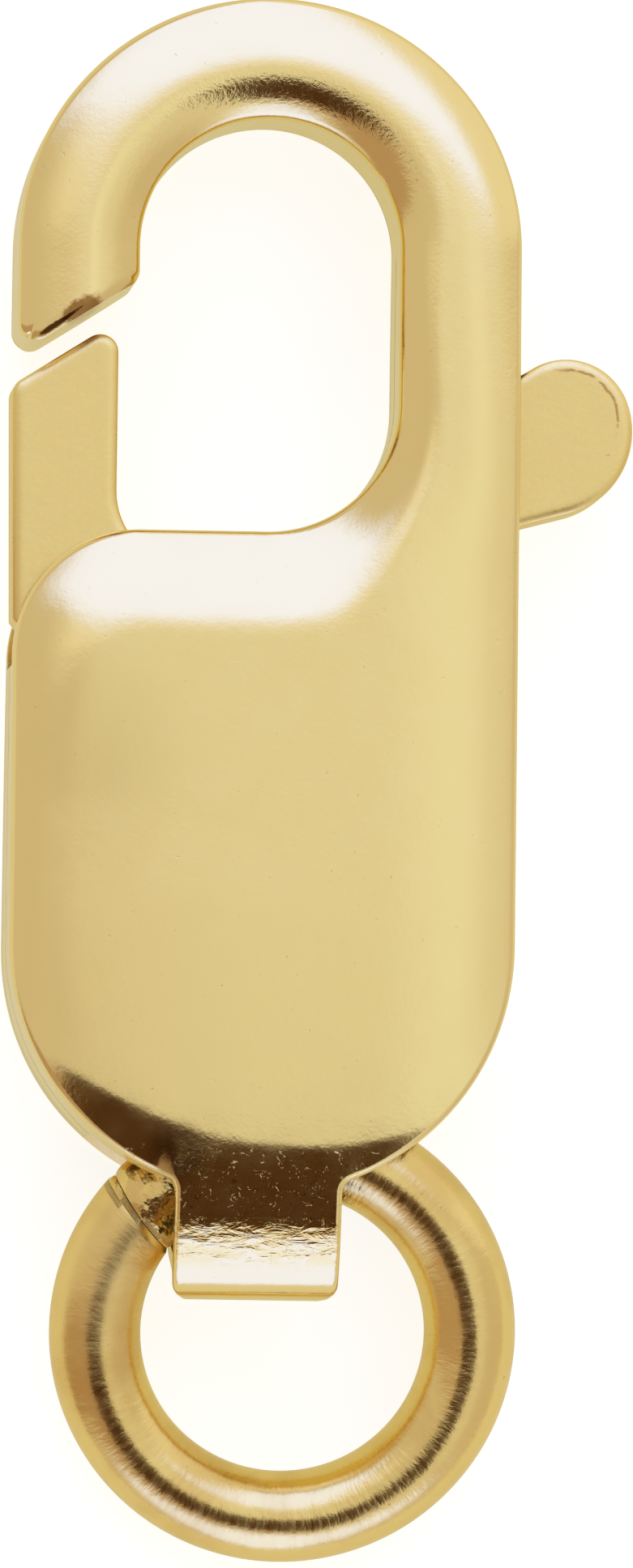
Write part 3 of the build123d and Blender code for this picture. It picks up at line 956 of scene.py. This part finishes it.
def case_gold(look, sizes):
    """Sheet gold of the case.

    Polish marks all over, crinkles on the fold with a painted warm reflection tint in their
    hollows, scratches and specks on the neck, scuffs on the band inside the hook's top, a soft
    blotch, and painted dark reflections on the tip and beside the neck.
    """
    material, tree, place_at, polished, pits, haze = start_gold("case gold")
    low = add(tree, "ShaderNodeSeparateXYZ", place_at, output=1)
    fold = between(tree, low, -2.78, -2.40, 0.07)
    crinkle = noise(tree, scaled(tree, place_at, (4, 11, 4)), 1.0, 3.0, 0.6, 0.5)
    folded = bump(tree, times(tree, crinkle, fold), 17e-6, polished)
    scratches = ramp(tree, noise(tree, place_at, 11.0, 4.0, 0.8, 1.5), 0.63, 0.69)
    scratched = times(tree, scratches, between(tree, low, -2.6, -1.85, 0.12))
    scored = bump(tree, scratched, 5e-6, folded)
    from_hook, _ = distance_from(tree, place_at, (0, sizes.hook_centre / MM))
    band = times(tree, between(tree, from_hook, 1.30, 1.62, 0.05), ramp(tree, low, 6.2, 6.9))
    scuffed = bump(tree, times(tree, noise(tree, place_at, 19.0, 3.0, 0.7), band), 3.4e-6, scored)
    tip, blotch, stains, neck_dark_reflection = (
        patch(tree, place_at, *stain) for stain in (TIP_PAINTED_REFLECTION, BLOTCH, NECK_STAINS, NECK_PAINTED_REFLECTION)
    )
    specks = ramp(tree, noise(tree, place_at, 14.0, 3.0, 0.75), 0.60, 0.68)
    colour = tinted(
        tree, look.gold,
        (pits, PIT_COLOUR, 0.35),
        (blotch, (0.50, 0.40, 0.15), 0.12),
        (times(tree, stains, specks), (0.30, 0.12, 0.03), 0.5),
        (scratched, (0.70, 0.40, 0.13), 0.8),
        # Painted reflection tone: a warm orange tint in the hollows of the fold's crinkles
        (times(tree, ramp(tree, crinkle, 0.60, 0.42), fold), (0.93, 0.70, 0.22), 0.6),
        # Painted dark reflection on the tip beside its cut
        (tip, (0.32, 0.14, 0.03), 0.9),
        # Painted dark reflection beside the neck
        (neck_dark_reflection, (0.20, 0.085, 0.02), 0.85),
    )
    rough = span(tree, haze, 0.3, 0.7, look.roughness * 0.8, look.roughness * 1.25)
    return finish_gold(material, colour, rough, scuffed)


def lever_gold(look):
    """Stamped gold of the lever: duller than the sheet, a faint mottle, a painted shade line on the
    tab's rim.
    """
    material, tree, place_at, polished, pits, _ = start_gold("lever gold")
    mottle = noise(tree, place_at, 17.0, 5.0, 0.7)
    # Painted shade: a dark ragged line round the tab's nose, where its rounded rim meets the flat
    # face
    from_nose, offset = distance_from(tree, place_at, TAB_NOSE)
    fray = maths(tree, "MULTIPLY_ADD", noise(tree, place_at, 6.0, 4.0, 0.7), 0.07, from_nose)
    across, up, _ = add(tree, "ShaderNodeSeparateXYZ", offset).node.outputs
    outward = ramp(tree, maths(tree, "ADD", across, up), 0.25, 0.50)
    line = times(tree, between(tree, fray, 0.475, 0.500, 0.007), outward)
    rim_crease_shade = times(tree, line, ramp(tree, noise(tree, place_at, 9.0, 3.0), 0.36, 0.46))
    colour = tinted(
        tree, look.stamped,
        (ramp(tree, mottle, 0.45, 0.75), (0.86, 0.66, 0.23), 0.08),
        # Painted shade line on the tab's rim
        (rim_crease_shade, (0.52, 0.29, 0.09), 0.85),
        (pits, PIT_COLOUR, 0.4),
    )
    rough = span(tree, mottle, 0.3, 0.7, 0.24, 0.36)
    return finish_gold(material, colour, rough, bump(tree, mottle, 0.4e-6, polished))


def wire_gold(look, ring):
    """Drawn gold wire: its draw marks run across the wire, on the ring's own straightened map.

    Dents lie all along it, and the last stretch before the joint is hammered.
    """
    material, tree, _, polished, pits, _ = start_gold("ring gold")
    wire_map = add(tree, "ShaderNodeAttribute", attribute_name=WIRE_MAP, output=1)
    marks = noise(tree, scaled(tree, wire_map, (24, 7, 7)), 1.0, 3.0, 0.6)
    drawn = bump(tree, marks, 3.2e-6, polished)
    dented = bump(tree, noise(tree, wire_map, 2.2, 2.0), 10e-6, drawn)
    along = add(tree, "ShaderNodeSeparateXYZ", wire_map)
    end = 2 * math.pi * ring.ring_radius / MM
    pinched = ramp(tree, along, end - 1.5, end - 0.5)
    hammered = bump(tree, times(tree, noise(tree, wire_map, 5.0, 3.0), pinched), 30e-6, dented)
    shaded = ramp(tree, noise(tree, wire_map, 1.1, 3.0, 0.6), 0.42, 0.70)
    colour = tinted(tree, look.wire, (shaded, (0.74, 0.50, 0.17), 0.55), (pits, PIT_COLOUR, 0.4))
    satin = span(tree, marks, 0.3, 0.7, 0.15, 0.27)
    rough = maths(tree, "ADD", satin, ramp(tree, along, 0.5, 1.8, 0.13, 0.0))
    return finish_gold(material, colour, rough, hammered)


# Settings


def place(name, description, default, **limits):
    """Setting for a place along an axis: given in millimetres, kept in metres."""
    return bpy.props.FloatProperty(
        name=name, description=description, default=default * MM, unit="LENGTH",
        subtype="DISTANCE", precision=6, **limits,
    )


def length(name, description, default):
    """Setting for a length, which is never less than nothing."""
    return place(name, description, default, min=0.0)


def degrees(name, description, default):
    """Setting for an angle: given in degrees, kept in radians."""
    return bpy.props.FloatProperty(
        name=name, description=description, default=math.radians(default), unit="ROTATION",
        subtype="ANGLE",
    )


def tone(name, description, default):
    """Setting for a colour or the colour of a light."""
    return bpy.props.FloatVectorProperty(
        name=name, description=description, default=default, min=0, size=3, subtype="COLOR",
    )


def mesh_cells(name, description, default, low, high):
    """Setting for a number of mesh cells."""
    return bpy.props.IntProperty(
        name=name, description=description, default=default, min=low, max=high,
    )


class CaseSizes(bpy.types.PropertyGroup):
    """Sizes of the folded case."""

    case_width: length("Case width", "Width of the case and hook", 4.44)
    band_width: length("Band width", "Width of the hook's band", 1.07)
    hook_centre: place("Hook centre", "Height of the hook's centre over the lower round", 6.145)
    opening_floor: place("Opening floor", "Height of the opening's lower edge", 3.64)
    shoulder_radius: length("Shoulder radius", "Round of the upper left shoulder", 1.115)
    tip_height: place("Tip height", "Height of the tip's cut in the middle of the band", 5.50)
    tip_angle: degrees("Tip angle", "Slant of the tip's cut", 32.5)
    half_depth: length("Half depth", "Depth of one half at the lower round", 0.85)
    taper: degrees("Taper", "Lean of each half towards the hook", 2.6)
    dome_rise: length("Dome rise", "Rise of the front over its rim", 0.26)
    sheet: length("Sheet", "Thickness of the sheet", 0.22)
    seam_gap: length("Seam gap", "Gap between the two halves", 0.03)
    tip_corner: length("Tip corner", "Round of the tip's two corners", 0.16)
    neck_width: length("Neck width", "Width of the folded neck", 1.46)
    neck_fillet: length("Neck fillet", "Round between the case and its neck", 0.13)
    fold_corner: length("Fold corner", "Round of the fold's two corners", 0.10)
    neck_back_slope: degrees("Back slope", "Slope of the neck's back", -1.0)
    fold_end: place("Fold end", "Lowest place of the fold", -3.12)
    front_lip: length("Front lip", "Depth of front wall left over the jump ring", 0.60)
    slot_depth: length("Slot depth", "Half depth of the lever's slots", 0.44)
    gate_slot_right: place("Gate slot right", "Right end of the gate's slot", -0.75)
    gate_slot_low: place("Gate slot foot", "Lower end of the gate's slot", 2.42)
    tab_slot_low: place("Tab slot foot", "Lower end of the tab's slot", 2.40)
    tab_slot_high: place("Tab slot top", "Upper end of the tab's slot", 5.28)
    ring_slot_left: place("Ring slot left", "Left end of the ring's slot", -1.45)
    ring_slot_right: place("Ring slot right", "Right end of the ring's slot", 1.55)
    cells: mesh_cells("Cells", "Mesh cells across the front", 44, 16, 120)


class LeverSizes(bpy.types.PropertyGroup):
    """Sizes of the lever."""

    thickness: length("Thickness", "Thickness of the lever", 0.76)
    gate_width: length("Gate width", "Width of the gate", 0.936)
    gate_reach: length("Gate reach", "Distance of the gate's outer corner from the middle", 2.25)
    gate_gap: length("Gate gap", "Gap between gate and hook tip", 0.19)
    gate_foot: place("Gate foot", "Height where the gate's outer side ends", 2.85)
    gate_corner: length("Gate corner", "Round of the gate's top corners", 0.16)
    root_radius: length("Gate root", "Round between gate and arm", 0.66)
    heel_radius: length("Heel radius", "Round of the lever about its pin", 0.48)
    arm_depth: length("Arm depth", "Depth of the arm inside the case", 0.90)
    arm_end_x: place("Arm end", "Place where the arm's lower side ends", 0.70)
    arm_rise: degrees("Arm rise", "Angle where the arm leaves the opening's corner", -8.0)
    tab_reach: place("Tab reach", "Outermost place of the thumb tab", 3.23)
    tab_top: place("Tab top", "Highest place of the thumb tab", 5.23)
    nose_radius: length("Tab nose", "Round of the tab's upper corner", 0.575)
    nose_start: degrees("Nose start", "Angle where the nose begins", 120.0)
    nose_end: degrees("Nose end", "Angle where the nose meets the heel", 20.0)
    tab_heel_radius: length("Tab heel", "Round of the tab's lower corner", 0.76)
    foot_angle: degrees("Foot angle", "Slope of the tab's lower edge", 15.0)
    foot_x: place("Foot end", "Place where the tab's lower edge ends", 1.75)
    edge_radius: length("Edge radius", "Width of the lever's rounded edges", 0.09)
    edge_depth: length("Edge depth", "Depth of the lever's rounded edges", 0.04)
    pivot_x: place("Pivot across", "Place of the pin across the clasp", -1.42)
    pivot_y: place("Pivot along", "Place of the pin along the clasp", 2.58)
    bore_radius: length("Bore radius", "Radius of the lever's bore", 0.33)
    wall_clearance: length("Wall clearance", "Gap between arm and sheet", 0.08)


class RingSizes(bpy.types.PropertyGroup):
    """Sizes of the jump ring."""

    ring_radius: length("Ring radius", "Radius of the wire's centre line", 1.663)
    wire_radius: length("Wire radius", "Radius of the wire", 0.405)
    cut_angle: degrees("Cut angle", "Place of the sawn joint", 141.0)
    cut_skew: degrees("Cut skew", "Slant of the sawn joint", -14.0)
    cut_gap: length("Cut gap", "Gap at the sawn joint", 0.008)
    cut_edge: length("Cut edge", "Round of the wire's sawn edges", 0.018)
    shift_x: place("Shift", "Place of the ring across the clasp", 0.31)
    axis_y: place("Top along", "Place of the ring's top wire along the clasp", -1.762)
    axis_z: place("Top height", "Height of the ring's top wire", 0.879)
    tilt: degrees("Tilt", "Tilt of the ring on the floor", 8.19)
    cells_along: mesh_cells("Cells along", "Mesh rings along the wire", 220, 24, 800)
    cells_around: mesh_cells("Cells around", "Mesh cells round the wire", 56, 8, 160)


class StudioLook(bpy.types.PropertyGroup):
    """Colours and lights."""

    gold: tone("Gold", "Colour of the polished gold", (0.95, 0.78, 0.365))
    stamped: tone("Stamped gold", "Colour of the lever", (0.95, 0.75, 0.295))
    wire: tone("Wire gold", "Colour of the jump ring", (0.93, 0.73, 0.30))
    roughness: bpy.props.FloatProperty(
        name="Roughness", description="Roughness of the polish", default=0.14, min=0, max=1,
        subtype="FACTOR",
    )
    room: tone("Room", "Colour of the tent over the clasp", (0.762, 0.730, 0.667))
    bright: tone("Bright", "Colour of the tent beside the upper softbox", (0.86, 0.825, 0.765))
    shade: tone("Shade", "Colour of the tent's shaded side", (0.475, 0.33, 0.22))
    gap: tone("Gap", "Colour of the dark gap in the tent", (0.060, 0.022, 0.004))
    softbox: tone("Softbox", "Colour of the softboxes", (0.98, 1.14, 2.26))
    floor: tone("Floor", "Colour of the floor", (0.35, 0.35, 0.33))
    glow: tone("Glow", "Warm light given off by the light table", (0.49, 0.445, 0.235))
    paper: tone("Paper", "Pale light table as it is seen", (0.83, 0.83, 0.80))
    distance: length("Camera distance", "Distance of the camera", 150)


# Stage


# Brightness of the tent at angles across it, in degrees: the room's colour is multiplied by it
TENT_TONES = (
    (-90, 0.86), (-45, 0.85), (-18, 0.86), (2, 1.0), (13, 1.12), (30, 1.0), (55, 0.86), (90, 0.86),
)

# The photograph, in its own pixels: size of one in millimetres, height, middle, and the place of
# the clasp's lower round. The turn and lean of its view, in degrees, and the last corrections were
# fitted to the clasp's outline
PIXEL = 0.0072
PICTURE_HEIGHT = 1936
PICTURE_MIDDLE = (390.5, 968)
CLASP_PIXEL = (322, 1161)
VIEW_TURN = 0.960
VIEW_LEAN = (-3.5, -0.2)
VIEW_SHIFT = (-0.0083, 0.0162, 0)
VIEW_ZOOM = 1.01042
SENSOR = 36


def make_floor(look):
    """Light table: pale paper to the camera, and a warm glow to the gold that reflects it."""
    mesh = bpy.data.meshes.new("floor")
    reach = FLOOR_REACH
    corners = [(-reach, -reach, 0), (reach, -reach, 0), (reach, reach, 0), (-reach, reach, 0)]
    mesh.from_pydata(corners, [], [(0, 1, 2, 3)])
    floor = bpy.data.objects.new("floor", mesh)
    paint = bpy.data.materials.new("floor")
    paint.use_nodes = True
    tree = paint.node_tree
    shader = tree.nodes["Principled BSDF"]
    shader.inputs["Base Color"].default_value = (*look.floor, 1)
    shader.inputs["Roughness"].default_value = 0.9
    shader.inputs["Emission Strength"].default_value = 1.0
    seen = add(tree, "ShaderNodeLightPath")
    glow = tinted(tree, look.glow, (seen, look.paper, 1.0))
    tree.links.new(glow, shader.inputs["Emission Color"])
    mesh.materials.append(paint)
    return floor


def set_world(scene):
    """Light tent as a function of direction: two softboxes and a dark gap in a pale room.

    Pitch is the angle from straight up towards the hook, and roll the angle towards the tab, both
    in degrees. The upper softbox is cut off by an oval in pitch and roll, and its edge lifts on
    the left.
    """
    look = scene.clasp_look
    world = bpy.data.worlds.new("studio")
    world.use_nodes = True
    tree = world.node_tree
    direction = add(tree, "ShaderNodeTexCoord", output=0)
    x, y, z = add(tree, "ShaderNodeSeparateXYZ", direction).node.outputs
    up = maths(tree, "MAXIMUM", z, 0.001)
    pitch = maths(tree, "MULTIPLY_ADD", maths(tree, "ARCSINE", y), 180 / math.pi, 1.5)
    roll = times(tree, maths(tree, "ARCTAN2", x, up), 180 / math.pi)

    room = add(tree, "ShaderNodeValToRGB", span(tree, roll, -90, 90))
    stops = room.node.color_ramp
    stops.interpolation = "EASE"
    while len(stops.elements) < len(TENT_TONES):
        stops.elements.new(0.5)
    for stop, (angle, level) in zip(stops.elements, TENT_TONES):
        stop.position = (angle + 90) / 180
        stop.color = (level, level**1.5, level**2, 1)
    base = blended(tree, 1.0, room, (*look.room, 1), "MULTIPLY")

    def oval_part(value, reach):
        """Square of a value's share of its reach."""
        return maths(tree, "POWER", maths(tree, "DIVIDE", value, reach), 2.0)

    bright = times(tree, ramp(tree, pitch, 12.5, 17.0), ramp(tree, roll, -44, -20))
    lift = span(tree, roll, -4, -36, 0.0, 15.0)
    upper = ramp(tree, maths(tree, "SUBTRACT", pitch, lift), 15.0, 26.0)
    across = oval_part(roll, ramp(tree, roll, 0, 12, 50.0, 37.0))
    oval = maths(tree, "ADD", across, oval_part(pitch, 100.0))
    upper = times(tree, upper, ramp(tree, oval, 0.60, 1.30, 1.0, 0.0))
    low = times(tree, ramp(tree, pitch, -51, -43, 1.0, 0.0), between(tree, roll, -60, 60, 22))
    aside = ramp(tree, maths(tree, "ABSOLUTE", roll), 15, 60, 0.0, 6.0)
    shaded = between(tree, maths(tree, "SUBTRACT", pitch, aside), -42, -8, 2.5)
    shade = times(tree, shaded, ramp(tree, roll, 8, 22, 1.0, 0.15))
    narrowed = times(tree, roll, ramp(tree, pitch, -20, -10, 1.0, 1.3))
    lowered = maths(tree, "SUBTRACT", pitch, ramp(tree, roll, -14, 0, 2.5, 0.0))
    gap = times(tree, between(tree, lowered, -37, -8, 1.0), between(tree, narrowed, -24, 16, 2))
    colour = tinted(
        tree, base,
        (bright, look.bright, 0.9),
        (shade, look.shade, 1.0),
        (upper, look.softbox, 1.0),
        (low, look.softbox, 0.95),
        (gap, look.gap, 1.0),
    )
    tree.links.new(colour, tree.nodes["Background"].inputs["Color"])
    scene.world = world
    scene.view_settings.view_transform = "Standard"


def set_camera(scene):
    """Camera over the clasp's front, leaning a little to the left and below, as in the photograph.

    It looks at the point of the front that the picture's middle shows. The lens makes one pixel
    as wide as it is on the clasp.
    """
    sizes, look = scene.clasp_case, scene.clasp_look
    turn = math.radians(VIEW_TURN)
    dx = (PICTURE_MIDDLE[0] - CLASP_PIXEL[0]) * PIXEL
    dy = (CLASP_PIXEL[1] - PICTURE_MIDDLE[1]) * PIXEL
    x = dx * math.cos(turn) - dy * math.sin(turn)
    y = dx * math.sin(turn) + dy * math.cos(turn)
    z = sizes.half_depth / MM - y * math.tan(sizes.taper)
    target = Vector(laid(np.array([x, y, z]), sizes)) + Vector(VIEW_SHIFT) * MM
    lean_x, lean_y = (math.radians(lean) for lean in VIEW_LEAN)
    back = Vector((
        math.sin(lean_x), math.sin(lean_y) * math.cos(lean_x), math.cos(lean_y) * math.cos(lean_x),
    ))
    data = bpy.data.cameras.new("camera")
    camera = bpy.data.objects.new("camera", data)
    scene.collection.objects.link(camera)
    data.sensor_width = SENSOR
    data.lens = VIEW_ZOOM * SENSOR * look.distance / (PICTURE_HEIGHT * PIXEL * MM)
    data.clip_start, data.clip_end = 0.005, 2
    up = Vector((-math.sin(turn), math.cos(turn), 0))
    right = up.cross(back).normalized()
    up = back.cross(right).normalized()
    turned = Matrix((right, up, back)).transposed()
    camera.matrix_world = Matrix.Translation(target + back * look.distance) @ turned.to_4x4()
    scene.camera = camera


# Operators and panel


class CLASP_OT_case(bpy.types.Operator):
    """Build the folded case with its hook, slots and loop"""

    bl_idname = "clasp.case"
    bl_label = "Case"

    def execute(self, context):
        scene = context.scene
        case = build_case(scene.clasp_case)
        case.data.materials.append(case_gold(scene.clasp_look, scene.clasp_case))
        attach(case, "case")
        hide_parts("folded_case")
        return {"FINISHED"}


class CLASP_OT_lever(bpy.types.Operator):
    """Build the lever with its gate and thumb tab, and dress the hidden pin"""

    bl_idname = "clasp.lever"
    bl_label = "Lever"

    def execute(self, context):
        scene = context.scene
        lever = build_lever(scene.clasp_case, scene.clasp_lever)
        satin = lever_gold(scene.clasp_look)
        lever.data.materials.append(satin)
        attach(lever, "lever")
        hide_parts("gate_lever")
        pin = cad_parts["pivot_pin"]
        pin.data.materials.clear()
        pin.data.materials.append(satin)
        return {"FINISHED"}


class CLASP_OT_ring(bpy.types.Operator):
    """Build the jump ring"""

    bl_idname = "clasp.ring"
    bl_label = "Jump ring"

    def execute(self, context):
        scene = context.scene
        ring = build_ring(scene.clasp_ring)
        ring.data.materials.append(wire_gold(scene.clasp_look, scene.clasp_ring))
        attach(ring, "ring")
        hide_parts("jump_ring")
        return {"FINISHED"}


class CLASP_OT_stage(bpy.types.Operator):
    """Set the floor, the studio light and the camera"""

    bl_idname = "clasp.stage"
    bl_label = "Stage"

    def execute(self, context):
        scene = context.scene
        floor = make_floor(scene.clasp_look)
        scene.collection.objects.link(floor)
        set_world(scene)
        set_camera(scene)
        return {"FINISHED"}


class CLASP_PT_panel(bpy.types.Panel):
    """Sidebar panel with the clasp's builders"""

    bl_label = "Lobster clasp"
    bl_idname = "CLASP_PT_panel"
    bl_space_type = "VIEW_3D"
    bl_region_type = "UI"
    bl_category = "Clasp"

    def draw(self, context):
        for name in BUILDERS:
            self.layout.operator(name)


BUILDERS = ("clasp.case", "clasp.lever", "clasp.ring", "clasp.stage")
GROUPS = {
    "clasp_case": CaseSizes,
    "clasp_lever": LeverSizes,
    "clasp_ring": RingSizes,
    "clasp_look": StudioLook,
}
CLASSES = (
    CaseSizes, LeverSizes, RingSizes, StudioLook,
    CLASP_OT_case, CLASP_OT_lever, CLASP_OT_ring, CLASP_OT_stage, CLASP_PT_panel,
)


def register():
    """Add the classes, and the settings to every scene."""
    for cls in CLASSES:
        bpy.utils.register_class(cls)
    for name, group in GROUPS.items():
        setattr(bpy.types.Scene, name, bpy.props.PointerProperty(type=group))


def unregister():
    """Take the settings and the classes away again."""
    for name in GROUPS:
        delattr(bpy.types.Scene, name)
    for cls in reversed(CLASSES):
        bpy.utils.unregister_class(cls)


def main():
    """Build the whole clasp with its stage."""
    register()
    bpy.ops.clasp.case()
    bpy.ops.clasp.lever()
    bpy.ops.clasp.ring()
    bpy.ops.clasp.stage()


if __name__ == "__main__":
    main()
